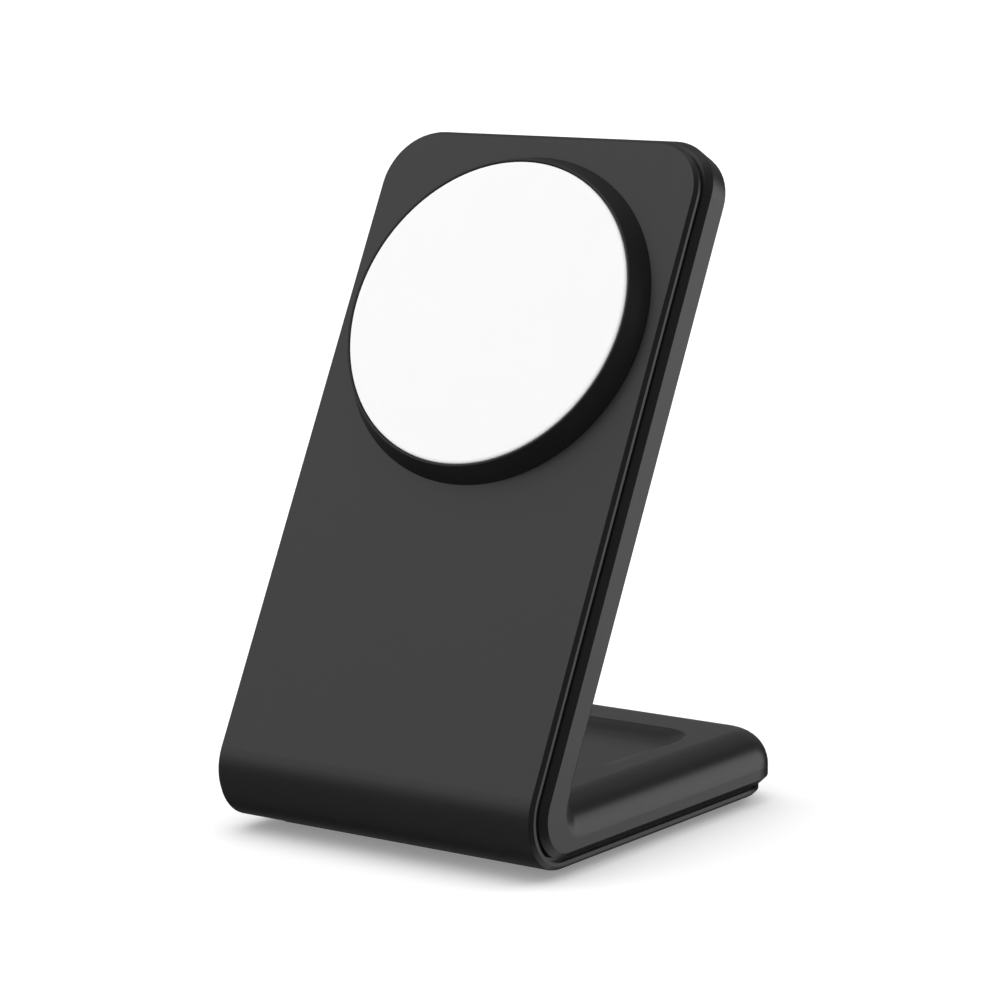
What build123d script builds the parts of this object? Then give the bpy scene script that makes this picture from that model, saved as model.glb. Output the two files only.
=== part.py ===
"""A wireless charging stand for a phone and an earbud case.

Frame: millimetres, +Z up, the phone faces -Y, the base runs back to +Y.
The origin is on the surface that the stand rests on, under the middle of its box.

The stand is one bent form: a panel that leans back and a base that runs back under it.
Both are measured from the fold line, where the plane of the front face and the plane
of the underside would meet. Depths go inwards from those two planes.
"""

import os
from math import cos, pi, radians, sin, sqrt, tan

from build123d import *

# Overall form
lean = 26.5                 # degrees that the panel leans back from upright
panel_length = 128.4        # from the fold line to the top edge
base_length = 83.1          # from the fold line to the rear edge
housing_width = 66.6
panel_depth = 7.72
base_depth = 10.8
fold_radius = 9.05          # outside of the fold
corner_radius = 9.5         # corners at the top of the panel and the rear of the base
crook_radius = 2.4          # inside corner between panel and base
base_round = 6.0            # soft upper edge of the base
panel_round = 0.5           # rear edge of the panel
runout_start = 0.2          # share of the crook's bend at which the soft edge starts to grow
runout_steps = 8

# Outer shell: the front, the fold and the underside in one moulding
plate = 1.25
plate_inset = 1.1           # how far its edge stays inside the housing's
plate_corner = 9.8          # its own corners, a little fuller than the housing's
plate_bevel = 0.61          # flat all round its visible edge
seam_gap = 0.7              # shadow groove between the two shells
skirt_thick = 1.2
skirt_depth = 1.8           # how far the skirt reaches into the inner shell
skirt_inset = 1.1           # from the plate's edge to the skirt

# Inner shell: the rear of the panel and the top of the base in one moulding
seam_chamfer = 1.05
skirt_gap = 0.2             # between the skirt and the wall that it slides into
rear_wall = 1.5
top_wall = 1.6

# Snap hooks along the panel
hook_width = 7.0
hook_catch = 0.45
hook_height = 0.9
hook_play = 0.1
hook_places = (0.42, 0.68, 0.93)

# Earbud dish in the top of the base
dish_side_margin = 9.6      # from the side of the base to the dish
dish_rear_margin = 13.4
dish_width = housing_width - 2 * dish_side_margin
dish_length = 33.0
dish_centre = base_length - dish_rear_margin - dish_length / 2
dish_depth = 1.5
dish_corner = 7.0
dish_slope = 60.0           # degrees from the vertical at the dish's edge
dish_blend = 7.0            # soft corner between its wall and its floor
dish_floor = 1.2
dish_border = 2.0           # thickened floor past the dish's edge
dish_ease = 0.6             # rounding of the dish's upper edge

# Charging puck on the panel
puck_centre = 93.8          # up the panel from the fold line
puck_margin = 3.85          # from the side of the housing to its base
puck_taper = 1.95           # how much further in its rim is
puck_rim = 3.95             # height of the rim above the panel
puck_rim_round = 0.25
puck_shoulder = 2.05        # from its base in to the neck that passes through the outer shell
puck_wall = 1.2
puck_base_radius = housing_width / 2 - puck_margin
puck_rim_radius = puck_base_radius - puck_taper
puck_barrel_radius = puck_base_radius - puck_shoulder
puck_bore = puck_barrel_radius - puck_wall
barrel_gap = 0.2
face_margin = 0.5           # from the rim in to the white face
face_radius = puck_rim_radius - face_margin
face_height = 4.16
face_thick = 1.0
face_gap = 0.15
face_round = 0.6
back_plate = 0.8
back_plate_margin = 0.25    # from the cup's base in to the clamping plate's edge
back_plate_radius = puck_base_radius - back_plate_margin

# Coil, magnets and tray in the puck
tray_web = 0.6
tray_gap = 0.2
tray_post = 6.0
magnet_gap = 0.3            # between the magnets and the cup's bore
magnet_width = 3.0
magnet_outer = puck_bore - magnet_gap
magnet_inner = magnet_outer - magnet_width
magnet_thick = 1.8
magnet_count = 16
magnet_spacing = 0.25
magnet_opening = 30.0       # degrees left open where the coil's lead leaves
fold_side = -90.0           # degrees round the puck at which the fold is
back_ring = 0.5
ferrite_gap = 0.5           # from the magnets to the ferrite's edge
ferrite_radius = magnet_inner - ferrite_gap
ferrite_thick = 0.8
coil_border = 0.9           # ferrite that shows past the coil
coil_outer = ferrite_radius - coil_border
coil_inner = 10.25
coil_thick = 0.95
coil_turns = 10
stack_gap = 0.06
thermistor_radius = 1.4
thermistor_thick = 0.9

# Screws: shank radius, head radius and head height of each size
shell_screw = (1.1, 2.0, 1.2)
board_screw = (0.9, 1.7, 0.7)
small_screw = (0.75, 1.4, 0.6)
thread_gap = 0.05
screw_relief = 0.3          # pilot hole past the screw's end
head_gap = 0.15
boss_wall = 1.5

# Where the two shells are screwed together, from below
shell_boss_side = 8.8       # in from the side of the housing
shell_boss_back = 9.1       # in from its rear
shell_boss_front = 23.0
shell_boss_x = housing_width / 2 - shell_boss_side
shell_boss_rear = base_length - shell_boss_back
shell_boss_meet = 2.7       # height at which the two bosses meet
shell_screw_length = 7.0

# Screws in the puck
puck_screw_inset = 2.2      # in from the cup's bore
puck_screw_circle = puck_bore - puck_screw_inset
puck_screw_count = 3
puck_boss_radius = 2.4
puck_screw_length = 2.0

# Main board
board_side = 12.3           # from the side of the housing to the board
board_width = housing_width - 2 * board_side
board_length = 34.6
board_thick = 1.2
board_height = 2.1
board_gap = 0.3             # from the skirt to the board's rear edge
board_corner = 1.5
board_hole_inset = 2.2
board_screw_length = 4.0

# Parts on the board. A place is a share of the board's width and of its length; a size is
# width, length and height.
control_chip_place = (-0.08, 0.5)
control_chip = (6.0, 6.0, 0.9)
switch_chip_place = (0.167, 0.58)
switch_chip = (4.0, 4.0, 0.9)
sensor_chip_place = (0.286, 0.74)
sensor_chip = (5.0, 4.0, 1.2)
capacitor = (3.2, 2.5, 1.6)
capacitor_row = 12.5        # behind the board's front edge
capacitor_pitch = 4.0
capacitor_inset = 5.0       # in from the board's side
inductor_place = (-0.31, 0.74)
inductor = (6.0, 6.0, 1.6)
winding_radius = 2.6
winding_height = 2.0
winding_overlap = 0.1

# Charging inlet on the board
inlet_width = 8.94
inlet_height = 3.26
inlet_length = 8.2
inlet_wall = 0.3
inlet_recess = 1.2          # from the rear of the base in to the inlet's mouth
inlet_gap = 0.2
tongue_width = 6.69
tongue_height = 0.7
tongue_length = 4.45
inlet_block = 2.6           # moulded block that holds the tongue

# Earbud coil under the dish
bud_coil_outer = 15.0
bud_coil_inner = 5.5
bud_coil_thick = 0.85
bud_coil_turns = 9
bud_ferrite_radius = 16.0
bud_ferrite_thick = 0.7
bud_holder_radius = 16.8
bud_holder_thick = 0.6
bud_holder_window = 9.0
bud_ear_reach = 18.8
bud_ear_angle = 55.0
bud_screw_length = 2.0

# Counterweight in the base
weight_width = board_width
weight_front = 17.0
weight_margin = 1.5         # from its rear edge to the board
weight_thick = 2.6
weight_rib_gap = 0.1
weight_rib_inset = 6.0      # of the ribs over it, in from its side
weight_rib_start = 2.0
weight_rib_x = weight_width / 2 - weight_rib_inset
weight_fence = 0.8
weight_fence_gap = 0.15
weight_fence_height = 1.2
rib_thick = 1.2

# Ribs, pillars and lead clips on the rear wall of the panel
panel_rib_places = (10.0, 20.0)
panel_rib_height = 1.2
panel_rib_low = 24.0
panel_rib_high = 120.0
pillar_radius = 2.5
pillar_inset = 11.3         # in from the side of the housing
pillar_x = housing_width / 2 - pillar_inset
pillar_up = 45.0
clip_places = (38.0, 62.0)
clip_length = 4.0
clip_thick = 1.0
clip_gap = 0.1

# Leads
lead_radius = 0.75
bud_lead_radius = 0.4
lead_depth = 4.2            # of the phone coil's lead, behind the front face
lead_height = 4.8           # of both leads, above the underside
lead_bend = 1.8
lead_fold = 5.0
lead_exit = (coil_inner + coil_outer) / 2  # below the puck's centre
lead_hole_gap = 0.3
bud_lead_x = 10.0
bud_lead_turn = 4.2         # how far it loops out in front of its coil
bud_lead_bend = 1.3
connector_width = 4.2
connector_length = 4.0
connector_height = 2.3

# Foot pad
foot_height = 1.65
foot_side = 3.9             # from the plate's edge to the pad's
foot_rear = 4.3
foot_front = 17.6
foot_corner = 1.5
foot_round = 0.3

# The fold line in the part's frame, and the two planes that meet there
opening_angle = radians(90.0 - lean)
fold_tangent = fold_radius / tan(opening_angle / 2)
fold_front = fold_tangent - fold_radius
fold_y = -(fold_front + base_length) / 2
fold_z = foot_height
along = Vector(0, sin(radians(lean)), cos(radians(lean)))
outward = Vector(0, -cos(radians(lean)), sin(radians(lean)))
panel_frame = Plane(origin=(0, fold_y, fold_z), x_dir=(1, 0, 0), z_dir=outward)
base_frame = Plane(origin=(0, fold_y, fold_z), x_dir=(1, 0, 0), z_dir=(0, 0, 1))
puck_frame = panel_frame.location * Pos(0, puck_centre, 0)

# Depths and heights that follow from the sizes above
seam_depth = plate + seam_gap
half_housing = housing_width / 2
half_plate = half_housing - plate_inset
cavity_ceiling = base_depth - top_wall
dish_under = base_depth - dish_depth - dish_floor
side_wall = plate_inset + skirt_inset - skirt_gap
skirt_inside = plate_inset + skirt_inset + skirt_thick
board_top = board_height + board_thick
board_rear = base_length - skirt_inside - board_gap
board_front = board_rear - board_length
weight_length = board_front - weight_margin - weight_front
inlet_mouth = base_length - inlet_recess

# Heights in the puck, from the panel's front face, worked down from the white face
face_under = face_height - face_thick
coil_high = face_under - stack_gap
coil_low = coil_high - coil_thick
ferrite_low = coil_low - ferrite_thick
magnet_low = coil_high - magnet_thick
ring_low = magnet_low - back_ring
web_low = ring_low - tray_web

# Heights of the earbud coil's stack, down from the dish
bud_coil_low = dish_under - bud_coil_thick
bud_ferrite_low = bud_coil_low - bud_ferrite_thick
bud_holder_low = bud_ferrite_low - bud_holder_thick


def side_point(panel_inset, base_inset):
    """Where a line at one depth in the panel meets a line at one depth in the base."""
    up = (base_inset + panel_inset * sin(radians(lean))) / cos(radians(lean))
    return (up * sin(radians(lean)) + panel_inset * cos(radians(lean)), base_inset)


def panel_point(up, inset):
    """A point of the side profile, up the panel and in from its front face."""
    p = along * up - outward * inset
    return (p.Y, p.Z)


def nearest_vertex(sketch, point):
    return sketch.vertices().sort_by_distance(Vector(point[0], point[1], 0))[0]


def bent_slab(outer, panel_inner, base_inner, half_width, end_inset, fold, crook, corner=0.0):
    """A panel and base in one, between two depths, with rounded far corners.

    The corners follow the housing's, further in, unless another radius is given.
    """
    up = panel_length - end_inset
    back = base_length - end_inset
    corner_outer = side_point(outer, outer)
    corner_inner = side_point(panel_inner, base_inner)
    outline = Polyline(
        panel_point(up, outer),
        corner_outer,
        (back, outer),
        (back, base_inner),
        corner_inner,
        panel_point(up, panel_inner),
        close=True,
    )
    profile = make_face(outline)
    profile = fillet(nearest_vertex(profile, corner_outer), fold)
    profile = fillet(nearest_vertex(profile, corner_inner), crook)
    side = Plane(origin=(0, fold_y, fold_z), x_dir=(0, 1, 0), z_dir=(1, 0, 0))
    slab = extrude(side * profile, amount=half_width, both=True)
    radius = corner or corner_radius - end_inset
    slab = fillet(slab.edges().filter_by(Axis((0, 0, 0), outward)), radius)
    return fillet(slab.edges().filter_by(Axis.Z), radius)


def rim_edges(shape, faces):
    """The closed loop of edges round a group of faces that run into each other."""
    seen = [edge for face in faces for edge in face.edges()]
    return ShapeList(
        edge for edge in seen if sum(edge.center() == other.center() for other in seen) == 1
    )


def fold_faces(shape, radius):
    """The front face, the fold and the underside of a bent slab."""
    front = shape.faces().sort_by(Axis((0, 0, 0), outward))[-1]
    under = shape.faces().sort_by(Axis.Z)[0]
    bends = shape.faces().filter_by(GeomType.CYLINDER)
    bend = [f for f in bends if abs(f.radius - radius) < 1e-6 and abs(f.center().X) < 1e-6]
    return [front, under, bend[0]]


def crook_faces(shape, radius):
    """The rear face of the panel, the crook and the top of the base."""
    rear = [
        f
        for f in shape.faces().filter_by(GeomType.PLANE)
        if f.normal_at().dot(outward) < -0.999
    ]
    top = [
        f for f in shape.faces().filter_by(GeomType.PLANE) if f.normal_at().Z > 0.999
    ]
    bends = shape.faces().filter_by(GeomType.CYLINDER)
    bend = [f for f in bends if abs(f.radius - radius) < 1e-6 and abs(f.center().X) < 1e-6]
    return [rear[0], top[0], bend[0]]


def rounded_base(inset, radius):
    """The base by itself with its soft upper edge, open towards the front."""
    back = base_length - inset
    half = half_housing - inset
    front = -base_length
    plan = Pos(0, (back + front) / 2) * Rectangle(2 * half, back - front)
    plan = fillet(plan.vertices().group_by(Axis.Y)[-1], corner_radius - inset)
    block = extrude(plan, amount=base_depth - inset_top(inset))
    upper = block.edges().group_by(Axis.Z)[-1]
    upper = upper.sort_by(Axis.Y)[1:]
    return base_frame * fillet(upper, radius)


def inset_top(inset):
    """How far the cavity's ceiling is below the top, for the outside and the inside."""
    return top_wall if inset > 0 else 0.0


def edge_cutter(inset, radius):
    """What the soft upper edge takes away, with its start that grows round the crook."""
    wall = rear_wall if inset else 0.0
    top = base_depth - inset_top(inset)
    crook = crook_radius + wall
    half = half_housing - inset
    start = side_point(panel_depth - wall, top)[0] + crook / tan(opening_angle / 2)
    room = Pos(0, (start + 2 * base_length) / 2, top / 2) * Box(
        2 * housing_width, 2 * base_length - start, top
    )
    cutter = base_frame * room - rounded_base(inset, radius)
    least = 0.8 * panel_round
    middle = (0, start, top + crook)
    for side in (1, -1):
        sections = []
        for i in range(runout_steps + 1):
            share = i / runout_steps
            turn = radians(270) - (1 - share) * (1 - runout_start) * (pi - opening_angle)
            grown = least + (radius - least) * (1 - cos(pi * share)) / 2
            sections.append(runout_section(middle, turn, crook, grown, half, side))
        cutter += base_frame * loft(sections)
    return cutter


def runout_section(middle, turn, crook, radius, half, side):
    """The corner that an edge of this radius takes off, in a plane through the crook's middle."""
    x = side * half
    inner = x - side * radius
    far = crook + radius
    mid = (inner + side * radius / sqrt(2), far - radius / sqrt(2))
    plane = Plane(origin=middle, x_dir=(1, 0, 0), z_dir=(0, -sin(turn), cos(turn)))
    lines = [
        Line((x, far), (x + side, far)),
        Line((x + side, far), (x + side, crook / 2)),
        Line((x + side, crook / 2), (inner, crook / 2)),
        Line((inner, crook / 2), (inner, crook)),
        ThreePointArc((inner, crook), mid, (x, far)),
    ]
    return plane * make_face(lines)


def housing_form(outer, skin):
    """The housing's outside, or the same form a wall further in for its hollow."""
    wall = rear_wall if skin else 0.0
    fold = fold_radius - outer
    form = bent_slab(
        outer, panel_depth - wall, base_depth - inset_top(skin), half_housing - skin,
        skin, fold, crook_radius + wall,
    )
    if not skin:
        form = chamfer(rim_edges(form, fold_faces(form, fold)), seam_chamfer)
        form = fillet(rim_edges(form, crook_faces(form, crook_radius)), panel_round)
    return form - edge_cutter(skin, base_round - inset_top(skin))


def disc(radius, low, high, hole=0.0):
    """A round plate or ring between two heights."""
    ring = Cylinder(radius, high - low, align=(Align.CENTER, Align.CENTER, Align.MIN))
    if hole:
        ring -= Cylinder(hole, high - low, align=(Align.CENTER, Align.CENTER, Align.MIN))
    return Pos(0, 0, low) * ring


def slab_plate(width, length, low, high, corner=0.0):
    """A flat plate with its front edge on the X axis and its corners rounded."""
    plan = Pos(0, length / 2) * Rectangle(width, length)
    if corner:
        plan = fillet(plan.vertices(), corner)
    return Pos(0, 0, low) * extrude(plan, amount=high - low)


def screw(size, length):
    """A screw along Z with its head below the origin and its shank above it."""
    shank, head, head_height = size
    body = disc(head, -head_height, 0) + disc(shank, 0, length)
    rim = body.edges().filter_by(GeomType.CIRCLE).group_by(Axis.Z)[0]
    body = chamfer(rim, head_height / 4)
    slot = Box(head * 1.3, head / 4, head_height / 2) + Box(head / 4, head * 1.3, head_height / 2)
    return body - Pos(0, 0, -head_height) * slot


def around(count, radius, start=0.0):
    """Places evenly spaced on a circle."""
    step = 360 / count
    return [Rot(0, 0, start + i * step) * Pos(radius, 0, 0) for i in range(count)]


def shell_boss_places():
    return [
        Pos(side * shell_boss_x, y, 0)
        for side in (-1, 1)
        for y in (shell_boss_front, shell_boss_rear)
    ]


def board_hole_places():
    x = board_width / 2 - board_hole_inset
    return [
        Pos(side * x, y, 0)
        for side in (-1, 1)
        for y in (board_front + board_hole_inset, board_rear - board_hole_inset)
    ]


def bud_ear_places():
    centre = Pos(0, dish_centre, 0)
    return [centre * place for place in around(2, bud_ear_reach, bud_ear_angle)]


def dish_plan(grow):
    plan = Pos(0, dish_centre) * Rectangle(dish_width + 2 * grow, dish_length + 2 * grow)
    return fillet(plan.vertices(), dish_corner + grow)


def dish_hollow():
    """The shallow dish: sloping walls that run softly into a flat floor."""
    plan = Pos(0, 0, base_depth) * dish_plan(0)
    hollow = extrude(plan, amount=-dish_depth, taper=dish_slope)
    floor = hollow.edges().group_by(Axis.Z)[0]
    return fillet(floor, dish_blend)


def dish_rim(shell):
    """The dish's upper edge on a shell: the edges in the base's top near the dish's outline."""
    top = shell.edges().filter_by_position(Axis.Z, fold_z + base_depth, fold_z + base_depth)
    half_width, half_length = dish_width / 2, dish_length / 2
    return ShapeList(
        edge for edge in top
        if abs(edge.center().X) < half_width + dish_border
        and abs(edge.center().Y - fold_y - dish_centre) < half_length + dish_border
    )


def inlet_opening(gap, low, high):
    """The inlet's rounded outline, from one place along the base to another."""
    width, height = inlet_width + 2 * gap, inlet_height + 2 * gap
    outline = RectangleRounded(width, height, inlet_height / 2.4 + gap)
    plane = Plane(origin=(0, low, board_top + inlet_height / 2), x_dir=(1, 0, 0), z_dir=(0, 1, 0))
    return extrude(plane * outline, amount=high - low)


def hook_blocks(grow):
    """The snap hooks' catches, outside the skirt on both sides of the panel."""
    half = half_plate - skirt_inset
    root = half - skirt_thick / 4
    reach = hook_catch + grow
    low = plate + skirt_depth
    blocks = []
    for share in hook_places:
        up = share * panel_length
        for side in (-1, 1):
            wedge = Polyline(
                (side * root, -(low + grow)),
                (side * half, -(low + grow)),
                (side * (half + reach), -(low - hook_height / 2)),
                (side * half, -(low - hook_height - grow)),
                (side * root, -(low - hook_height - grow)),
                close=True,
            )
            plane = Plane(origin=(0, up, 0), x_dir=(1, 0, 0), z_dir=(0, -1, 0))
            section = plane * make_face(wedge)
            blocks.append(extrude(section, amount=hook_width / 2 + grow, both=True))
    return blocks


def panel_box(width, low, high, inset_low, inset_high, x=0.0):
    """A block in the panel: across, up it, and between two depths behind its face."""
    size = Box(width, high - low, inset_high - inset_low)
    middle = Pos(x, (low + high) / 2, -(inset_low + inset_high) / 2)
    return panel_frame.location * middle * size


def outer_shell():
    """Front, fold and underside: one plate with a skirt, bosses and snap hooks."""
    shell = bent_slab(
        0, plate, plate, half_plate, plate_inset, fold_radius, fold_radius - plate, plate_corner
    )
    shell = chamfer(rim_edges(shell, fold_faces(shell, fold_radius)), plate_bevel)
    deep = plate + skirt_depth
    half = half_plate - skirt_inset
    inset = plate_inset + skirt_inset
    skirt = bent_slab(
        plate, deep, deep, half, inset, fold_radius - plate, fold_radius - deep
    )
    skirt -= bent_slab(
        plate - 1, deep + 1, deep + 1, half - skirt_thick, skirt_inside,
        fold_radius - plate + 1, fold_radius - deep - 1,
    )
    shell += skirt
    shell += [panel_frame.location * block for block in hook_blocks(0)]
    shell -= puck_frame * disc(puck_barrel_radius + barrel_gap, -deep, 1)
    return base_features_of_outer_shell(shell)


def base_features_of_outer_shell(shell):
    """Screw bosses with recesses for their heads, and a fence round the weight."""
    shank, head, head_height = shell_screw
    recess = head_height + head_gap
    outside = head + head_gap + boss_wall / 2
    for place in shell_boss_places():
        place = base_frame.location * place
        shell += place * disc(outside, plate / 2, shell_boss_meet)
        shell -= place * disc(head + head_gap, -1, recess)
        shell -= place * disc(shank + head_gap, 0, shell_boss_meet + 1)
    inner = weight_fence_gap
    outer = weight_fence_gap + weight_fence
    high = plate + weight_fence_height
    fence = weight_plate(outer, plate / 2, high) - weight_plate(inner, plate / 2, high)
    return shell + fence


def weight_plate(grow, low, high):
    plate_shape = slab_plate(weight_width + 2 * grow, weight_length + 2 * grow, low, high)
    return base_frame.location * Pos(0, weight_front - grow, 0) * plate_shape


def inner_shell():
    """Rear of the panel and top of the base: a hollow moulding with its fixings."""
    shell = housing_form(seam_depth, 0)
    shell -= housing_form(seam_depth - 1, side_wall)
    backing = Pos(0, 0, dish_under) * extrude(dish_plan(dish_border), amount=dish_floor)
    shell += base_frame.location * backing
    shell = base_features_of_inner_shell(shell)
    shell -= base_frame.location * dish_hollow()
    shell = fillet(dish_rim(shell), dish_ease)
    shell -= base_frame.location * inlet_opening(inlet_gap, inlet_mouth - side_wall, base_length + 1)
    shell -= [panel_frame.location * block for block in hook_blocks(hook_play)]
    return panel_features_of_inner_shell(shell)


def base_features_of_inner_shell(shell):
    """Bosses for the shell screws, posts for board and coil, ribs over the weight."""
    at = base_frame.location
    root = cavity_ceiling + top_wall / 2
    under_dish = dish_under + dish_floor / 2
    screw_end = shell_screw[2] + head_gap + shell_screw_length
    board_posts = board_hole_places()
    board_end = board_height + board_screw_length
    bud_end = bud_holder_low + bud_screw_length
    posts = [
        (shell_boss_places(), shell_screw, shell_boss_meet, root, screw_end),
        (board_posts[::2], board_screw, board_top, under_dish, board_end),
        (board_posts[1::2], board_screw, board_top, root, board_end),
        (bud_ear_places(), small_screw, bud_ferrite_low, under_dish, bud_end),
    ]
    for places, size, low, high, _ in posts:
        for place in places:
            shell += at * place * disc(size[0] + boss_wall, low, high)
    low = (Align.CENTER, Align.MIN, Align.MIN)
    rib = Box(rib_thick, weight_length / 2, root - weight_top(), align=low)
    for side in (-1, 1):
        start = Pos(side * weight_rib_x, weight_front + weight_rib_start, weight_top())
        shell += at * start * rib
    for places, size, low, _, end in posts:
        for place in places:
            shell -= at * place * disc(size[0] + thread_gap, low - 1, end + screw_relief)
    return shell


def weight_top():
    """Where the ribs over the weight end."""
    return plate + weight_thick + weight_rib_gap


def panel_features_of_inner_shell(shell):
    """Long ribs, two pillars against the front, and clips for the coil's lead."""
    floor = panel_depth - rear_wall / 2
    top = panel_depth - rear_wall - panel_rib_height
    for x in panel_rib_places:
        for side in (-1, 1):
            shell += panel_box(rib_thick, panel_rib_low, panel_rib_high, top, floor, side * x)
    for side in (-1, 1):
        pillar = disc(pillar_radius, -floor, -plate)
        shell += panel_frame.location * Pos(side * pillar_x, pillar_up, 0) * pillar
        across = side * (lead_radius + clip_gap + clip_thick / 2)
        for up in clip_places:
            low, high = up - clip_length / 2, up + clip_length / 2
            shell += panel_box(clip_thick, low, high, lead_depth, floor, across)
    return shell


def puck_screw_places():
    """Evenly round the puck, with one screw opposite the fold."""
    return around(puck_screw_count, puck_screw_circle, -fold_side)


def puck_body():
    """The dark cup: tapered wall, rim round the white face, neck through the shell."""
    profile = make_face(
        Polyline(
            (puck_bore, -plate),
            (puck_barrel_radius, -plate),
            (puck_barrel_radius, 0),
            (puck_base_radius, 0),
            (puck_rim_radius, puck_rim),
            (face_radius + face_gap, puck_rim),
            (face_radius + face_gap, face_under),
            (puck_bore, face_under),
            close=True,
        )
    )
    profile = fillet(nearest_vertex(profile, (puck_rim_radius, puck_rim)), puck_rim_round)
    cup = revolve(Plane.XZ * profile, Axis.Z)
    for place in puck_screw_places():
        cup += place * disc(puck_boss_radius, -plate, web_low)
    cup -= [
        place * disc(small_screw[0] + thread_gap, -plate - 1, web_low + 1)
        for place in puck_screw_places()
    ]
    return puck_frame * cup


def puck_face():
    face = disc(face_radius, face_under, face_height)
    rim = face.edges().filter_by(GeomType.CIRCLE).group_by(Axis.Z)[-1]
    return puck_frame * fillet(rim, face_round)


def puck_back_plate():
    """The metal plate that clamps the cup to the outer shell from behind."""
    low = -plate - back_plate
    cover = disc(back_plate_radius, low, -plate)
    for place in puck_screw_places():
        cover -= place * disc(small_screw[0] + head_gap, low - 1, 0)
    cover -= lead_hole(low - 1, 0)
    return puck_frame * cover


def lead_hole(low, high):
    return Pos(0, -lead_exit, 0) * disc(lead_radius + lead_hole_gap, low, high)


def puck_screws():
    low = -plate - back_plate
    screws = [
        place * Pos(0, 0, low) * screw(small_screw, puck_screw_length)
        for place in puck_screw_places()
    ]
    return puck_frame * Compound(children=screws)


def coil_tray():
    """The moulded tray: a web on the cup's bosses, a step for the coil, a post below."""
    tray = disc(puck_bore - tray_gap, web_low, ring_low)
    tray += disc(magnet_inner - tray_gap, web_low, ferrite_low)
    tray += disc(tray_post, -plate, web_low + tray_web / 2, tray_post - rib_thick)
    tray -= lead_hole(web_low - 1, ferrite_low + 1)
    return puck_frame * tray


def wound_coil(inner, outer, thick, turns):
    """A flat coil as one ring whose faces show the rounded turns of its wire."""
    pitch = (outer - inner) / turns
    dip = min(pitch, thick) / 8
    edges = []
    for i in range(turns):
        r = inner + i * pitch
        mid, end = r + pitch / 2, r + pitch
        edges.append(ThreePointArc((r, thick - dip), (mid, thick), (end, thick - dip)))
        edges.append(ThreePointArc((r, dip), (mid, 0), (end, dip)))
    edges.append(Line((inner, dip), (inner, thick - dip)))
    edges.append(Line((outer, dip), (outer, thick - dip)))
    return revolve(Plane.XZ * make_face(edges), Axis.Z)


def phone_coil():
    coil = wound_coil(coil_inner, coil_outer, coil_thick, coil_turns)
    return puck_frame * Pos(0, 0, coil_low) * coil


def phone_ferrite():
    sheet = disc(ferrite_radius, ferrite_low, coil_low)
    return puck_frame * (sheet - lead_hole(ferrite_low - 1, coil_low + 1))


def magnet_ring():
    """Arc magnets side by side, with an opening towards the fold."""
    span = (360 - magnet_opening) / magnet_count
    gap = magnet_spacing / magnet_outer * 180 / pi
    start = fold_side + magnet_opening / 2 + gap / 2
    arc = disc(magnet_outer, 0, magnet_thick, magnet_inner)
    wedge = sector(magnet_outer + 1, span - gap, magnet_thick)
    segment = arc & wedge
    segments = [Rot(0, 0, start + i * span) * segment for i in range(magnet_count)]
    return puck_frame * Pos(0, 0, magnet_low) * Compound(children=segments)


def sector(radius, angle, height):
    """A slice of a disc that starts on the X axis."""
    end = (radius * cos(radians(angle)), radius * sin(radians(angle)))
    mid = (radius * cos(radians(angle / 2)), radius * sin(radians(angle / 2)))
    lines = [Line((0, 0), (radius, 0)), ThreePointArc((radius, 0), mid, end), Line(end, (0, 0))]
    return extrude(make_face(lines), amount=height)


def magnet_back_ring():
    return puck_frame * disc(magnet_outer, ring_low, magnet_low, magnet_inner)


def thermistor():
    bead = disc(thermistor_radius, coil_low, coil_low + thermistor_thick)
    rim = bead.edges().filter_by(GeomType.CIRCLE).group_by(Axis.Z)[-1]
    return puck_frame * fillet(rim, thermistor_thick / 3)


def connector_front():
    """The front faces of the two lead connectors, near the board's front edge."""
    return board_front + connector_length / 4


def phone_coil_lead():
    """From the coil back through the puck, down the panel and round the fold."""
    start = along * (puck_centre - lead_exit) + outward * coil_low
    turn = along * (puck_centre - lead_exit) - outward * lead_depth
    corner = side_point(lead_depth, lead_height)
    points = [(start.Y, start.Z), (turn.Y, turn.Z), corner, (connector_front(), lead_height)]
    return side_tube(points, [lead_bend, lead_fold], lead_radius, 0)


def earbud_coil_lead():
    """From the rim of the earbud coil out, down and back to the board."""
    reach = sqrt(bud_coil_outer**2 - (bud_lead_x - bud_lead_radius) ** 2)
    start = dish_centre - reach - stack_gap
    high = bud_coil_low + bud_lead_radius + stack_gap / 2
    turn = start - bud_lead_turn
    points = [(start, high), (turn, high), (turn, lead_height), (connector_front(), lead_height)]
    return side_tube(points, [bud_lead_bend, bud_lead_bend], bud_lead_radius, bud_lead_x)


def side_tube(points, radii, radius, x):
    """A round lead that lies in one plane parallel to the stand's middle plane."""
    plane = Plane(origin=(x, fold_y, fold_z), x_dir=(0, 1, 0), z_dir=(1, 0, 0))
    path = plane * FilletPolyline(*points, radius=radii)
    ring = Plane(origin=path @ 0, z_dir=path % 0) * Circle(radius)
    return sweep(ring, path=path)


def main_board():
    board = slab_plate(board_width, board_length, board_height, board_top, board_corner)
    board = Pos(0, board_front, 0) * board
    for place in board_hole_places():
        board -= place * disc(board_screw[0] + head_gap, 0, board_top + 1)
    return base_frame.location * board


def on_board(x, back, shape):
    """Places a part on the board, measured back from the board's front edge."""
    return base_frame.location * Pos(x, board_front + back, board_top) * shape


def at_share(place, shape):
    """Places a part at a share of the board's width and of its length."""
    return on_board(place[0] * board_width, place[1] * board_length, shape)


def chip(size):
    width, length, height = size
    body = Box(width, length, height, align=(Align.CENTER, Align.CENTER, Align.MIN))
    return chamfer(body.edges().group_by(Axis.Z)[-1], height / 5)


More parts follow.
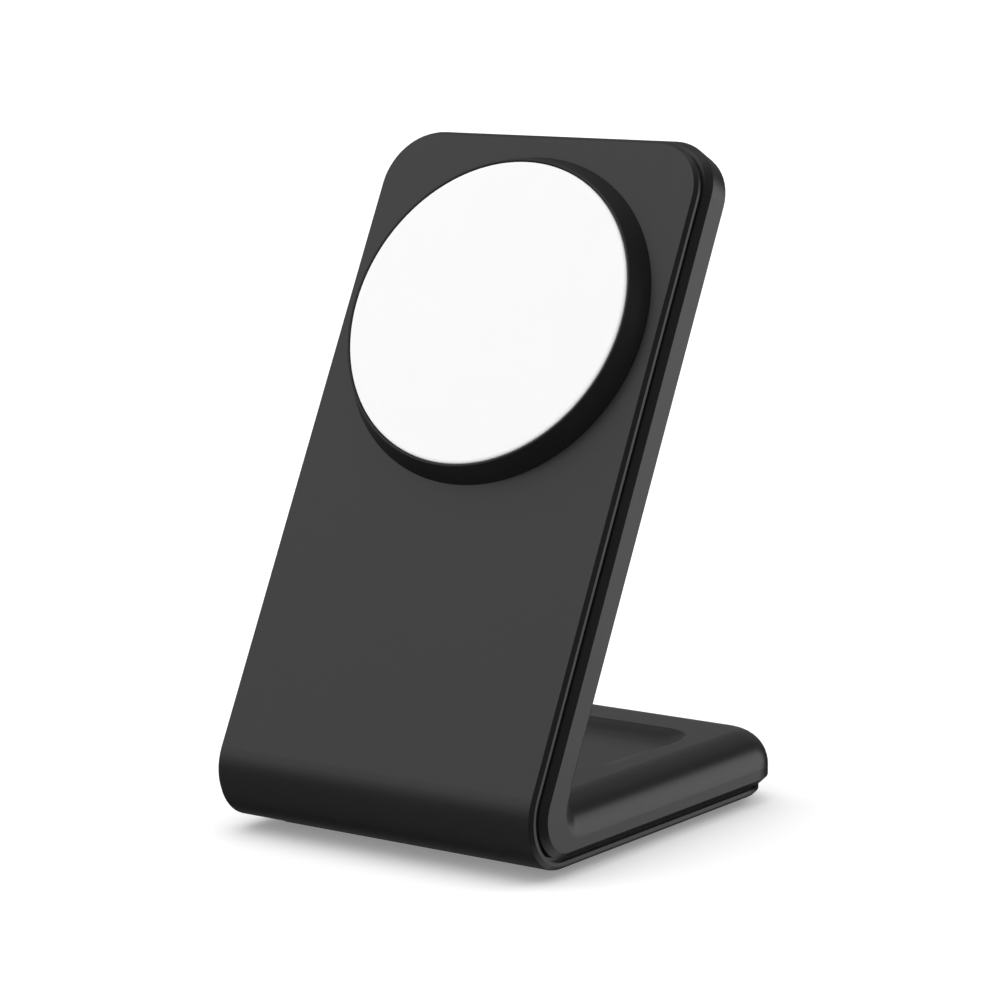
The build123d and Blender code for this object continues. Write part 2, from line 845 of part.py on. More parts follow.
def control_chips():
    chips = [
        at_share(control_chip_place, chip(control_chip)),
        at_share(switch_chip_place, chip(switch_chip)),
        at_share(sensor_chip_place, chip(sensor_chip)),
    ]
    return Compound(children=chips)


def resonant_capacitors():
    """A row of three in from the board's right-hand side, and of two from its left."""
    outermost = board_width / 2 - capacitor_inset
    row = []
    for side, count in ((1, 3), (-1, 2)):
        for i in range(count):
            x = side * (outermost - i * capacitor_pitch)
            row.append(on_board(x, capacitor_row, chip(capacitor)))
    return Compound(children=row)


def power_inductor():
    """A shielded choke: a square body with a round wound top."""
    body = chip(inductor) + disc(winding_radius, inductor[2] - winding_overlap, winding_height)
    return at_share(inductor_place, body)


def lead_connectors():
    """Two small sockets, each with an opening at the front for its lead's plug."""
    half = connector_length / 2
    sockets = []
    for x, radius in ((0, lead_radius), (bud_lead_x, bud_lead_radius)):
        body = chip((connector_width, connector_length, connector_height))
        slot = Box(connector_width / 2, half, connector_height / 2)
        body -= Pos(0, half / 2, connector_height) * slot
        sockets.append(on_board(x, connector_length / 4 + half, body))
    return Compound(children=sockets)


def inlet_tube(gap, low, high):
    return base_frame.location * inlet_opening(gap, low, high)


def inlet_shell():
    """The folded metal shell of the charging inlet."""
    back = inlet_mouth - inlet_length
    return inlet_tube(0, back, inlet_mouth) - inlet_tube(-inlet_wall, back - 1, inlet_mouth + 1)


def inlet_tongue():
    """The moulded block in the inlet's rear, with the flat tongue that it carries."""
    back = inlet_mouth - inlet_length
    block = inlet_tube(-inlet_wall, back, back + inlet_block)
    rooted = (Align.CENTER, Align.MIN, Align.CENTER)
    tongue = Box(tongue_width, tongue_length, tongue_height, align=rooted)
    height = board_top + inlet_height / 2
    return block + base_frame.location * Pos(0, back + inlet_block, height) * tongue


def earbud_coil():
    coil = wound_coil(bud_coil_inner, bud_coil_outer, bud_coil_thick, bud_coil_turns)
    return base_frame.location * Pos(0, dish_centre, bud_coil_low) * coil


def earbud_ferrite():
    sheet = disc(bud_ferrite_radius, bud_ferrite_low, bud_coil_low)
    return base_frame.location * Pos(0, dish_centre, 0) * sheet


def earbud_coil_holder():
    """A moulded ring with two ears that holds the earbud coil up under the dish."""
    ring = disc(bud_holder_radius, bud_holder_low, bud_ferrite_low, bud_holder_window)
    holder = Pos(0, dish_centre, 0) * ring
    ear = small_screw[1] + boss_wall / 2
    for place in bud_ear_places():
        holder += place * disc(ear, bud_holder_low, bud_ferrite_low)
        holder -= place * disc(small_screw[0] + head_gap, bud_holder_low - 1, bud_ferrite_low + 1)
    return base_frame.location * holder


def screws_at(places, height, size, length):
    at = base_frame.location
    screws = [at * place * Pos(0, 0, height) * screw(size, length) for place in places]
    return Compound(children=screws)


def counterweight():
    weight = weight_plate(0, plate, plate + weight_thick)
    return chamfer(weight.edges().filter_by(Axis.Z), weight_fence)


def foot_pad():
    """The soft pad that the stand rests on, stuck over the shell screws."""
    length = base_length - plate_inset - foot_rear - foot_front
    pad = slab_plate(2 * (half_plate - foot_side), length, -foot_height, 0, foot_corner)
    pad = base_frame.location * Pos(0, foot_front, 0) * pad
    return fillet(pad.edges().group_by(Axis.Z)[0], foot_round)


nodes = {
    "outer_shell": outer_shell(),
    "inner_shell": inner_shell(),
    "puck_body": puck_body(),
    "puck_face": puck_face(),
    "puck_back_plate": puck_back_plate(),
    "puck_screws": puck_screws(),
    "coil_tray": coil_tray(),
    "phone_coil": phone_coil(),
    "phone_ferrite": phone_ferrite(),
    "phone_coil_lead": phone_coil_lead(),
    "magnet_ring": magnet_ring(),
    "magnet_back_ring": magnet_back_ring(),
    "thermistor": thermistor(),
    "main_board": main_board(),
    "control_chips": control_chips(),
    "resonant_capacitors": resonant_capacitors(),
    "power_inductor": power_inductor(),
    "lead_connectors": lead_connectors(),
    "inlet_shell": inlet_shell(),
    "inlet_tongue": inlet_tongue(),
    "earbud_coil": earbud_coil(),
    "earbud_ferrite": earbud_ferrite(),
    "earbud_coil_holder": earbud_coil_holder(),
    "earbud_coil_lead": earbud_coil_lead(),
    "holder_screws": screws_at(bud_ear_places(), bud_holder_low, small_screw, bud_screw_length),
    "board_screws": screws_at(board_hole_places(), board_height, board_screw, board_screw_length),
    "base_screws": screws_at(
        shell_boss_places(), shell_screw[2] + head_gap, shell_screw, shell_screw_length
    ),
    "counterweight": counterweight(),
    "foot_pad": foot_pad(),
}

os.makedirs("parts", exist_ok=True)
for name, shape in nodes.items():
    export_step(shape, f"parts/{name}.step")
    print(name, len(shape.solids()), round(shape.volume))
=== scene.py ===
# %% [markdown]
# # A wireless charging stand in dark satin plastic
#
# The real stand is two moulded shells that meet in a thin shadow line, a round
# charging puck with a soft white face, and a rubber pad underneath. The solids of
# every piece come in as a fixed frame. Here they get their finishes, and the pieces
# that people touch are made again as fine surfaces. Sizes are in metres, +Z is up,
# and the white face looks towards -Y.

# %% Load the frame
from math import cos, pi, radians, sin, tan

import bmesh
import bpy
import numpy as np
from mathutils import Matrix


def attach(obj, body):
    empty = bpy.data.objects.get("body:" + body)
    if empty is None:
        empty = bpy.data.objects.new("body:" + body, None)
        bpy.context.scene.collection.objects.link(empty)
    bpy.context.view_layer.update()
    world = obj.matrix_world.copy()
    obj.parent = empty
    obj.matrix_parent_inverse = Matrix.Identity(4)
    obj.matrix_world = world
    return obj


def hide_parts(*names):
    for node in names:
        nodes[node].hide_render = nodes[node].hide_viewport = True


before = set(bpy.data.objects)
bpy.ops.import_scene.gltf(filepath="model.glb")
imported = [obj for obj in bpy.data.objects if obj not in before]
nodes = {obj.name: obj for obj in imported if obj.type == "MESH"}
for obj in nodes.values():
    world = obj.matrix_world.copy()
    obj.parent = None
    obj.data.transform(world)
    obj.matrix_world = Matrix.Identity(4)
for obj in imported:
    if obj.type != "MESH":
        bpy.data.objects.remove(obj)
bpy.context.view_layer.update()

# %% [markdown]
# ## The bent form
#
# The stand is one bent form: a panel that leans back and a base that runs back under
# it. Both are measured from the fold line, where the plane of the front face and the
# plane of the underside would meet. Keeping that line and the two directions as numpy
# vectors lets every later piece be placed by three plain numbers: across, up the
# panel, and out from its face.

# %% The fold line and the panel's own directions
MM = 0.001
LEAN = radians(26.5)
FOLD_RADIUS = 9.05
BASE_LENGTH = 83.1
FOOT_HEIGHT = 1.65
fold_front = FOLD_RADIUS / tan((pi / 2 - LEAN) / 2) - FOLD_RADIUS
fold_line = np.array([0.0, -(fold_front + BASE_LENGTH) / 2, FOOT_HEIGHT])
across = np.array([1.0, 0.0, 0.0])
along = np.array([0.0, sin(LEAN), cos(LEAN)])
outward = np.array([0.0, -cos(LEAN), sin(LEAN)])


def on_panel(x, up, out):
    """Points at x across, up along the panel and out from its face, as one array."""
    x, up, out = np.broadcast_arrays(x, up, out)
    return fold_line + x[..., None] * across + up[..., None] * along + out[..., None] * outward


PUCK_CENTRE = 93.8
print("puck centre, mm:", np.round(on_panel(0, PUCK_CENTRE, 0), 2))

# %% [markdown]
# ## Surfaces from grids
#
# A piece here is a surface worked out on a grid of two parameters. Numpy computes all
# its points at once, and `foreach_set` puts them into a mesh. A grid can be closed
# along either parameter, so a profile that is turned round an axis, or carried round
# a rounded rectangle, joins up with no seam.


# %% Mesh from a grid of points
def surface(name, points, close_rows=False, close_columns=False):
    """Faces join each point with the next in its row and its column, in millimetres."""
    rows, columns = points.shape[:2]
    index = np.arange(rows * columns).reshape(rows, columns)
    if close_rows:
        index = np.concatenate([index, index[:1]])
    if close_columns:
        index = np.concatenate([index, index[:, :1]], axis=1)
    quads = np.stack([index[:-1, :-1], index[:-1, 1:], index[1:, 1:], index[1:, :-1]], axis=-1)
    quads = quads.reshape(-1, 4)
    mesh = bpy.data.meshes.new(name)
    mesh.vertices.add(rows * columns)
    mesh.vertices.foreach_set("co", (points * MM).astype(np.float32).ravel())
    mesh.loops.add(quads.size)
    mesh.loops.foreach_set("vertex_index", quads.astype(np.int32).ravel())
    mesh.polygons.add(len(quads))
    mesh.polygons.foreach_set("loop_start", np.arange(0, quads.size, 4, dtype=np.int32))
    mesh.polygons.foreach_set("use_smooth", np.ones(len(quads), bool))
    mesh.update(calc_edges=True)
    mesh.validate()
    piece = bpy.data.objects.new(name, mesh)
    bpy.context.collection.objects.link(piece)
    return piece


def merge_poles(piece, distance=1e-7):
    """Points that fall on each other at a pole become one, and normals turn outwards."""
    work = bmesh.new()
    work.from_mesh(piece.data)
    bmesh.ops.remove_doubles(work, verts=work.verts, dist=distance)
    bmesh.ops.recalc_face_normals(work, faces=work.faces)
    work.to_mesh(piece.data)
    work.free()
    return piece


# %% [markdown]
# ## Rounded profiles
#
# Moulded parts have no knife edges. A profile is written as its sharp corners with a
# radius for each, and every corner becomes a short arc. The arc is the circle that
# touches both sides of the corner, so its centre lies on their bisector.


# %% A profile with rounded corners
def rounded_profile(corners, steps=10):
    """Replaces each (a, b, radius) corner by an arc that is tangent to both its sides."""
    spots = np.array([corner[:2] for corner in corners], float)
    line = []
    for i, (_, _, radius) in enumerate(corners):
        here, before, after = spots[i], spots[i - 1], spots[(i + 1) % len(spots)]
        if radius == 0:
            line.append(here[None])
            continue
        u, v = before - here, after - here
        u, v = u / np.linalg.norm(u), v / np.linalg.norm(v)
        half = np.arccos(np.clip(u @ v, -1, 1)) / 2
        middle = (u + v) / np.linalg.norm(u + v)
        centre = here + middle * radius / np.sin(half)
        start = here + u * radius / np.tan(half) - centre
        end = here + v * radius / np.tan(half) - centre
        turn = np.arctan2(start[0] * end[1] - start[1] * end[0], start @ end)
        angles = np.linspace(0, turn, steps + 1)[:, None]
        swung = np.array([-start[1], start[0]])
        line.append(centre + np.cos(angles) * start + np.sin(angles) * swung)
    return np.concatenate(line)


# %% [markdown]
# ## Turned pieces of the puck
#
# The puck's cup and its white face are both turned forms. Each is a profile in radius
# and height, carried round the puck's axis, which stands square on the panel.


# %% Turn a profile round the puck's axis
def turned(name, profile, turns=192):
    """Each profile point (radius, height) becomes a circle about the puck's axis."""
    angle = np.linspace(0, 2 * pi, turns, endpoint=False)[:, None]
    radius, height = profile[:, 0][None], profile[:, 1][None]
    points = on_panel(radius * np.cos(angle), PUCK_CENTRE + radius * np.sin(angle), height)
    return surface(name, points, close_rows=True, close_columns=True)


FACE_RADIUS, FACE_TOP, FACE_UNDER = 27.0, 4.16, 3.16
FACE_CROWN, FACE_FOOT_ROUND = 0.6, 0.1
face_line = rounded_profile(
    [
        (0, FACE_UNDER, 0),
        (0, FACE_TOP, 0),
        (FACE_RADIUS, FACE_TOP, FACE_CROWN),
        (FACE_RADIUS, FACE_UNDER, FACE_FOOT_ROUND),
    ],
    steps=14,
)
white_face = merge_poles(turned("white_face", face_line))
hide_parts("puck_face")

CUP_FOOT, CUP_RIM_RADIUS, CUP_NECK, CUP_BORE = 29.45, 27.5, 27.4, 26.2
CUP_RIM, SHELL_PLATE = 3.95, 1.25
RECESS_RADIUS = FACE_RADIUS + 0.15
RECESS_ROUND, RIM_ROUND, CUP_FOOT_ROUND = 0.08, 0.2, 0.12
cup_line = rounded_profile(
    [
        (CUP_BORE, -SHELL_PLATE, 0),
        (CUP_BORE, FACE_UNDER, 0),
        (RECESS_RADIUS, FACE_UNDER, 0),
        (RECESS_RADIUS, CUP_RIM, RECESS_ROUND),
        (CUP_RIM_RADIUS, CUP_RIM, RIM_ROUND),
        (CUP_FOOT, 0, CUP_FOOT_ROUND),
        (CUP_NECK, 0, 0),
        (CUP_NECK, -SHELL_PLATE, 0),
    ],
    steps=6,
)
puck_cup = merge_poles(turned("puck_cup", cup_line))
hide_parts("puck_body")
print("turned pieces:", len(white_face.data.polygons), len(puck_cup.data.polygons), "faces")

# %% [markdown]
# ## The rubber pad underneath
#
# The stand rests on one soft slab with rounded corners, stuck under the base. Its
# outline is a rounded rectangle, and the same outline is drawn again further in for
# every step of the slab's profile, so the lower edge turns under in a soft round.
# The rings then shrink to one point in the middle of the top and of the underside.


# %% A slab from a profile carried round a rounded rectangle
def rounded_outline(half_width, half_length, corner, steps=16):
    """Corner centres and unit directions: each point is centre + direction * radius."""
    quarter = np.linspace(0, pi / 2, steps + 1)
    angle = (quarter[None] + np.arange(4)[:, None] * pi / 2).ravel()
    signs = np.repeat([[1, 1], [-1, 1], [-1, -1], [1, -1]], steps + 1, axis=0)
    centres = signs * (half_width - corner, half_length - corner)
    return centres, np.stack([np.cos(angle), np.sin(angle)], axis=1)


def slab(name, middle, half_width, half_length, corner, profile):
    """Each profile row (share of the way out, inset from the edge, height) becomes one ring."""
    centres, directions = rounded_outline(half_width, half_length, corner)
    share, inset, height = (profile[:, i][:, None, None] for i in range(3))
    rings = share * (centres + directions * (corner - inset))
    heights = np.broadcast_to(height, rings.shape[:2] + (1,))
    points = fold_line + middle + np.concatenate([rings, heights], axis=2)
    return merge_poles(surface(name, points, close_columns=True))


PAD_HALF_WIDTH, PAD_HALF_LENGTH, PAD_FRONT = 28.3, 30.05, 17.6
PAD_CORNER, PAD_ROUND, BEND_STEPS = 1.5, 0.3, 8
bend = np.linspace(0, pi / 2, BEND_STEPS + 1)
under_round = np.stack(
    [
        np.ones_like(bend),
        PAD_ROUND * (1 - np.cos(bend)),
        PAD_ROUND * (1 - np.sin(bend)) - FOOT_HEIGHT,
    ],
    axis=1,
)
pad_top = [(0, 0, 0), (0.5, 0, 0), (1, 0, 0)]
pad_bottom = [(0.5, PAD_ROUND, -FOOT_HEIGHT), (0, 0, -FOOT_HEIGHT)]
rubber_pad = slab(
    "rubber_pad",
    (0, PAD_FRONT + PAD_HALF_LENGTH, 0),
    PAD_HALF_WIDTH,
    PAD_HALF_LENGTH,
    PAD_CORNER,
    np.concatenate([pad_top, under_round, pad_bottom]),
)
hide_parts("foot_pad")
print("rubber pad:", len(rubber_pad.data.polygons), "faces")

# %% [markdown]
# ## Shader sums
#
# A finish is easier to read as a formula than as a list of nodes and links. `Signal`
# wraps one socket and overloads the operators, so `0.4 + 0.1 * grain` adds its own
# Math nodes. Every other node comes from `Bench.node`: its type, its settings, and
# what goes into its sockets.


# %% Signals and the bench that makes them
class Signal:
    """A number that varies over a surface."""

    def __init__(self, bench, socket):
        self.bench, self.socket = bench, socket

    def math(self, operation, *values):
        return self.bench.node("ShaderNodeMath", {"operation": operation}, values)

    def __add__(self, other):
        return self.math("ADD", self, other)

    def __mul__(self, other):
        return self.math("MULTIPLY", self, other)

    def __rsub__(self, other):
        return self.math("SUBTRACT", other, self)

    __radd__, __rmul__ = __add__, __mul__


class Bench:
    """Adds nodes to one tree."""

    def __init__(self, tree):
        self.tree = tree
        tree.nodes.clear()

    def node(self, kind, settings=None, values=(), output=0):
        """A node of this type, with settings such as an operation or a ramp's stops set first."""
        made = self.tree.nodes.new(kind)
        for name, value in (settings or {}).items():
            if name == "stops":
                for stop, (place, colour) in zip(made.color_ramp.elements, value):
                    stop.position, stop.color = place, colour
            else:
                setattr(made, name, value)
        for key, value in values.items() if isinstance(values, dict) else enumerate(values):
            if isinstance(value, Signal):
                self.tree.links.new(value.socket, made.inputs[key])
            else:
                made.inputs[key].default_value = value
        return Signal(self, made.outputs[output]) if made.outputs else None


# %% [markdown]
# ## Places on a piece
#
# Every pattern reads Object coordinates. The objects all sit at the origin, so those
# are the millimetres of the stand itself times a thousandth, and a pattern keeps its
# real scale on every piece. A Mapping node centres a pattern where one is turned.


# %% Coordinates and textures
def object_place(bench, centre=(0, 0, 0), turn=(0, 0, 0)):
    """The point on the piece, measured from a centre and along turned axes, in metres."""
    place = bench.node("ShaderNodeTexCoord", output="Object")
    return bench.node(
        "ShaderNodeMapping",
        {"vector_type": "TEXTURE"},
        {"Vector": place, "Location": centre, "Rotation": turn},
    )


def grain(bench, place, size, detail=2.0):
    """Noise whose patches are about this many millimetres across."""
    return bench.node(
        "ShaderNodeTexNoise",
        {},
        {"Vector": place, "Scale": 1 / (size * MM), "Detail": detail, "Roughness": 0.55},
    )


def tint(bench, amount, dark, light):
    """A colour between two, by a signal from 0 to 1."""
    return bench.node(
        "ShaderNodeMix",
        {"data_type": "RGBA", "clamp_factor": True},
        {0: amount, 6: (*dark, 1), 7: (*light, 1)},
        output=2,
    )


def bump(bench, height, depth):
    """A surface normal from a height signal, whose full step is this many millimetres."""
    return bench.node(
        "ShaderNodeBump",
        {},
        {"Height": height, "Distance": depth * MM, "Strength": 1.0},
    )


def new_material(name):
    """An empty material and the bench that works on its nodes."""
    material = bpy.data.materials.new(name)
    material.use_nodes = True
    return material, Bench(material.node_tree)


def finish(name, recipe):
    """A material whose recipe gives the sockets of one Principled shader."""
    material, bench = new_material(name)
    shader = bench.node("ShaderNodeBsdfPrincipled", {}, recipe(bench))
    bench.node("ShaderNodeOutputMaterial", {}, {"Surface": shader})
    return material


def dress(material, *pieces):
    """Gives pieces a material, in every slot that they have."""
    for piece in pieces:
        piece = nodes[piece] if isinstance(piece, str) else piece
        piece.data.materials.clear()
        piece.data.materials.append(material)


# %% [markdown]
# ## Moulded housing plastic
#
# The shells are a dark grey plastic with a satin face. The mould is spark-eroded, so
# the face has a fine grain of about a fifth of a millimetre that softens reflections.
# Roughness drifts a little over centimetres, as it does where resin fills a mould.


# %% Housing plastic
def housing_recipe(bench):
    place = object_place(bench)
    fine, broad = grain(bench, place, 0.18, 3.0), grain(bench, place, 14.0)
    return {
        "Base Color": tint(bench, broad, (0.0105, 0.0105, 0.011), (0.0125, 0.0125, 0.013)),
        "Roughness": 0.29 + 0.04 * broad + 0.02 * fine,
        "Specular IOR Level": 0.58,
        "Normal": bump(bench, fine, 0.004),
    }


housing_plastic = finish("housing_plastic", housing_recipe)
dress(housing_plastic, "outer_shell", "inner_shell")


# %% [markdown]
# ## The puck
#
# The cup is the same resin with a duller, blacker face. The white face is silicone
# rubber: nearly white, with soft broad highlights and a grain too fine to see, only
# felt.


# %% Cup plastic and white silicone
def cup_recipe(bench):
    place = object_place(bench)
    fine, broad = grain(bench, place, 0.15, 3.0), grain(bench, place, 9.0)
    return {
        "Base Color": tint(bench, broad, (0.009, 0.009, 0.0095), (0.011, 0.011, 0.0115)),
        "Roughness": 0.4 + 0.05 * broad,
        "Specular IOR Level": 0.4,
        "Normal": bump(bench, fine, 0.004),
    }


def silicone_recipe(bench):
    place = object_place(bench)
    fine, broad = grain(bench, place, 0.12, 2.0), grain(bench, place, 11.0)
    return {
        "Base Color": tint(bench, broad, (0.935, 0.935, 0.935), (0.95, 0.95, 0.95)),
        "Roughness": 0.55 + 0.06 * broad,
        "Specular IOR Level": 0.3,
        "Normal": bump(bench, fine, 0.002),
    }


dress(finish("cup_plastic", cup_recipe), puck_cup)
dress(finish("white_silicone", silicone_recipe), white_face)


# %% [markdown]
# ## The hidden parts
#
# Nobody sees these in the closed stand, but they are kept as pieces, and each one has
# a finish that would hold up if the shells came off.


# %% Simple hidden finishes
def mottled(dark, light, roughness, metallic=0.0, size=2.0, depth=0.004, specular=0.5):
    """A recipe for a plain material whose tone and gloss drift over a few millimetres."""

    def recipe(bench):
        place = object_place(bench)
        broad, fine = grain(bench, place, size), grain(bench, place, size / 12, 3.0)
        return {
            "Base Color": tint(bench, broad, dark, light),
            "Roughness": roughness + 0.08 * broad,
            "Metallic": metallic,
            "Specular IOR Level": specular,
            "Normal": bump(bench, fine, depth),
        }

    return recipe


hidden_finishes = {
    "plated_steel": (mottled((0.52, 0.52, 0.53), (0.64, 0.64, 0.65), 0.26, 1.0, 3.0, 0.002),
                     ["puck_back_plate", "magnet_back_ring", "counterweight"]),
    "screw_steel": (mottled((0.2, 0.2, 0.21), (0.32, 0.32, 0.33), 0.3, 1.0, 1.0, 0.002),
                    ["puck_screws", "holder_screws", "board_screws", "base_screws"]),
    "tray_plastic": (mottled((0.1, 0.1, 0.11), (0.13, 0.13, 0.14), 0.45, 0.0, 5.0),
                     ["coil_tray", "earbud_coil_holder"]),
    "sintered_ferrite": (mottled((0.02, 0.02, 0.022), (0.045, 0.045, 0.048), 0.5, 0.0, 0.8),
                         ["phone_ferrite", "earbud_ferrite", "power_inductor"]),
    "lead_jacket": (mottled((0.42, 0.42, 0.42), (0.5, 0.5, 0.5), 0.42, 0.0, 2.0),
                    ["phone_coil_lead", "earbud_coil_lead"]),
    "magnet_nickel": (mottled((0.6, 0.58, 0.53), (0.7, 0.68, 0.63), 0.16, 1.0, 1.5, 0.001),
                      ["magnet_ring"]),
    "sensor_epoxy": (mottled((0.01, 0.01, 0.01), (0.03, 0.03, 0.03), 0.2), ["thermistor"]),
    "chip_plastic": (mottled((0.012, 0.012, 0.013), (0.025, 0.025, 0.026), 0.5, 0.0, 0.6),
                     ["control_chips", "inlet_tongue"]),
    "capacitor_ceramic": (mottled((0.34, 0.22, 0.12), (0.46, 0.32, 0.2), 0.35, 0.0, 1.0),
                          ["resonant_capacitors"]),
    "connector_plastic": (mottled((0.68, 0.64, 0.52), (0.78, 0.75, 0.65), 0.4, 0.0, 2.0),
                          ["lead_connectors"]),
    "inlet_steel": (mottled((0.5, 0.5, 0.51), (0.62, 0.62, 0.63), 0.3, 1.0, 1.0, 0.002),
                    ["inlet_shell"]),
    "foot_rubber": (mottled((0.007,) * 3, (0.012,) * 3, 0.75, 0.0, 3.0, 0.01, 0.15), [rubber_pad]),
}
for title, (recipe, dressed) in hidden_finishes.items():
    dress(finish(title, recipe), *dressed)


# %% [markdown]
# ## Copper coils and the circuit board
#
# A flat coil shows its turns as fine rings. A Wave texture of the ring kind, centred on
# the coil's axis, gives the rings, and darkens the enamel between them. The board's
# traces are the edges of a coarse grid of cells under green solder mask.


# %% Wound copper
def copper_recipe(centre, turn, pitch):
    """Rings about the coil's axis, one for each turn of wire."""

    def recipe(bench):
        place = object_place(bench, centre, turn)
        rings = bench.node(
            "ShaderNodeTexWave",
            {"wave_type": "RINGS", "rings_direction": "Z"},
            {"Vector": place, "Scale": pi / 10 / (pitch * MM), "Distortion": 0.0},
        )
        return {
            "Base Color": tint(bench, rings, (0.25, 0.07, 0.02), (0.72, 0.3, 0.12)),
            "Roughness": 0.3 + 0.15 * grain(bench, place, 1.0),
            "Metallic": 0.9,
            "Normal": bump(bench, rings, 0.05),
        }

    return recipe


def board_recipe(bench):
    place = object_place(bench)
    cells = bench.node(
        "ShaderNodeTexVoronoi",
        {"feature": "DISTANCE_TO_EDGE", "distance": "EUCLIDEAN"},
        {"Vector": place, "Scale": 1 / (3.2 * MM), "Randomness": 0.35},
    )
    trace = cells.math("LESS_THAN", cells, 0.06)
    return {
        "Base Color": tint(bench, trace, (0.008, 0.1, 0.035), (0.02, 0.2, 0.07)),
        "Roughness": 0.28 + 0.1 * grain(bench, place, 4.0),
        "Normal": bump(bench, trace, 0.03),
    }


PHONE_COIL_HEIGHT, PHONE_COIL_PITCH = 2.6, 1.125
EARBUD_COIL_PLACE, EARBUD_COIL_PITCH = (0, 53.2, 7.7), 1.056
phone_coil_centre = tuple(on_panel(0, PUCK_CENTRE, PHONE_COIL_HEIGHT) * MM)
phone_copper = copper_recipe(phone_coil_centre, (pi / 2 - LEAN, 0, 0), PHONE_COIL_PITCH)
earbud_coil_centre = tuple((fold_line + np.array(EARBUD_COIL_PLACE)) * MM)
earbud_copper = copper_recipe(earbud_coil_centre, (0, 0, 0), EARBUD_COIL_PITCH)
dress(finish("phone_coil_copper", phone_copper), "phone_coil")
dress(finish("earbud_coil_copper", earbud_copper), "earbud_coil")
dress(finish("circuit_board", board_recipe), "main_board")

# %% [markdown]
# ## Studio
#
# Satin black plastic shows its form by what it mirrors. In the photograph the front
# mirrors a large soft light at the front left, the right side mirrors a low one behind
# it, and the edges between them catch the dark of the room. So there are two skies: a
# plain one that lights everything, and the one that shows in reflections, where black
# cloth hangs round the table and leaves windows for the lights. The floor is white and
# keeps the soft shadow. It is left out of reflections, as a matt table top would be, and
# it is clear from below, so that the pad and the underside can be looked at too. The
# last three windows serve the back, the underside and the left side.


# %% Floor
FLOOR_REACH, FLOOR_LEVEL = 6000.0, -0.02
corner = np.linspace(-FLOOR_REACH, FLOOR_REACH, 2)
x, y = np.meshgrid(corner, corner)
floor = surface("floor", np.stack([x, y, np.full_like(x, FLOOR_LEVEL)], axis=-1))
floor.visible_glossy = False


def background_rays(bench):
    """1 for the rays that see the white background: from the camera, off or through a surface."""
    rays = bench.tree.nodes.new("ShaderNodeLightPath")
    camera, glossy, through = (
        Signal(bench, rays.outputs[f"Is {kind} Ray"])
        for kind in ("Camera", "Glossy", "Transmission")
    )
    return camera.math("MAXIMUM", camera.math("MAXIMUM", camera, through), glossy), glossy


def floor_recipe(bench):
    """White paper that glows a little, so that the shadow under the stand stays pale."""
    seen, _ = background_rays(bench)
    return {
        "Base Color": (0.88, 0.88, 0.88, 1),
        "Roughness": 0.9,
        "Specular IOR Level": 0.0,
        "Emission Color": tint(bench, seen, (0, 0, 0), (1, 1, 1)),
        "Emission Strength": 0.225,
    }


def one_sided(name, recipe):
    """A material whose recipe shows on the front of the faces, while their back is clear."""
    material, bench = new_material(name)
    front = bench.node("ShaderNodeBsdfPrincipled", {}, recipe(bench))
    clear = bench.node("ShaderNodeBsdfTransparent")
    behind = bench.tree.nodes.new("ShaderNodeNewGeometry").outputs["Backfacing"]
    mixed = bench.node("ShaderNodeMixShader", {}, {0: Signal(bench, behind), 1: front, 2: clear})
    bench.node("ShaderNodeOutputMaterial", {}, {"Surface": mixed})
    return material


dress(one_sided("white_ground", floor_recipe), floor)
print("floor normal:", tuple(floor.data.polygons[0].normal))

# %% [markdown]
# ## The two skies
#
# A window is a round patch of sky. Its middle has the full strength, and its edge fades
# out smoothly, like light through a soft box. The plain sky is a dim room with three
# such lights. The mirrored sky is dark cloth: each window takes its share of the cloth
# away, so windows may overlap and never add up to more than white.

# %% Sky
world = bpy.data.worlds.new("studio")
bpy.context.scene.world = world
world.use_nodes = True
sky = Bench(world.node_tree)
direction = sky.node("ShaderNodeTexCoord", output="Generated")


def window(towards, inner, outer, height=1.0):
    """The height within the inner angle of a direction, 0 past the outer one, smooth between."""
    towards = np.array(towards, float) / np.linalg.norm(towards)
    facing = sky.node(
        "ShaderNodeVectorMath",
        {"operation": "DOT_PRODUCT"},
        {0: direction, 1: tuple(towards)},
        output=1,
    )
    return sky.node(
        "ShaderNodeMapRange",
        {"interpolation_type": "SMOOTHSTEP"},
        {0: facing, 1: cos(radians(outer)), 2: cos(radians(inner)), 3: 0.0, 4: height},
    )


def bearing(round_right, up):
    """The direction this many degrees round from the back towards the right, and up."""
    turn, rise = radians(round_right), radians(up)
    return (sin(turn) * cos(rise), cos(turn) * cos(rise), sin(rise))


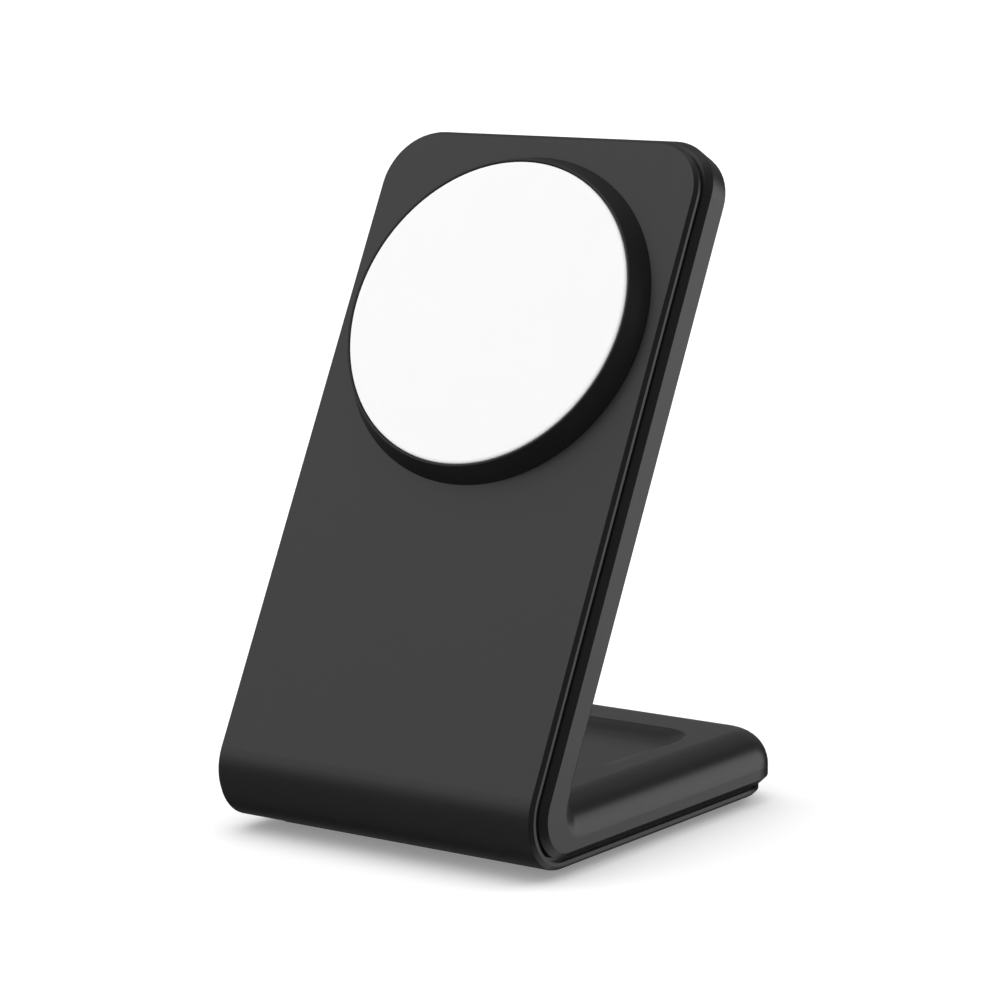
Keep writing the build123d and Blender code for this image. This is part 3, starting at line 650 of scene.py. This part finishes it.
ROOM_LIGHT = 0.25
LIGHTS = [
    (bearing(-137, 33), 30, 60, 0.85),
    (bearing(0, 79), 30, 70, 1.0),
    (bearing(35, -3), 25, 50, 0.9),
]
lighting = ROOM_LIGHT
for place in LIGHTS:
    lighting = lighting + window(*place)
WINDOWS = [
    (bearing(-140, 45), 10, 52, 0.95),
    (bearing(-60, 88), 8, 26, 0.8),
    (bearing(39, 3), 17, 27, 1.25),
    (bearing(-40, 42), 18, 58, 0.18),
    (bearing(-11, -35), 5, 24, 0.05),
    (bearing(-145, -35), 20, 50, 0.08),
    (bearing(-45, -33), 8, 28, 0.06),
    (bearing(-35, 4), 3, 12, 0.2),
    (bearing(70, -60), 10, 35, 0.35),
    (bearing(0, -74), 12, 30, 0.5),
    (bearing(-90, -10), 8, 24, 1.0),
]
CLOTH_DARKNESS = 0.985
cloth = CLOTH_DARKNESS
for place in WINDOWS:
    cloth = cloth * (1 - window(*place))
seen, glossy = background_rays(sky)
strength = seen * (1 - glossy * cloth) + (1 - seen) * lighting
background = sky.node("ShaderNodeBackground", {}, {"Color": (1, 1, 1, 1), "Strength": strength})
sky.node("ShaderNodeOutputWorld", {}, {"Surface": background})
print("studio:", len(LIGHTS), "lights,", len(WINDOWS), "windows in the cloth")

# %% [markdown]
# ## Camera
#
# The camera's place and lens were solved from the edges of the stand in the
# photograph: 35 degrees round to the right, 9 degrees down, with a long lens.

# %% Camera
CAMERA_PLACE = (338.462, -481.533, 150.955)
CAMERA_YAW, CAMERA_PITCH, CAMERA_LENS, SENSOR_WIDTH = 35.1975, 9.3007, 126.602, 36.0
lens = bpy.data.cameras.new("camera")
lens.lens, lens.sensor_width = CAMERA_LENS, SENSOR_WIDTH
lens.clip_start, lens.clip_end = 0.01, 50.0
camera = bpy.data.objects.new("camera", lens)
camera.location = np.array(CAMERA_PLACE) * MM
camera.rotation_euler = (radians(90 - CAMERA_PITCH), 0, radians(CAMERA_YAW))
bpy.context.collection.objects.link(camera)
bpy.context.scene.camera = camera
bpy.context.scene.view_settings.view_transform = "Standard"

# %% [markdown]
# ## One body for the new pieces
#
# The stand is rigid, so every new piece rides on the one body that it has.

# %% Put the new pieces on the stand
for piece in (white_face, puck_cup, rubber_pad):
    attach(piece, "root")
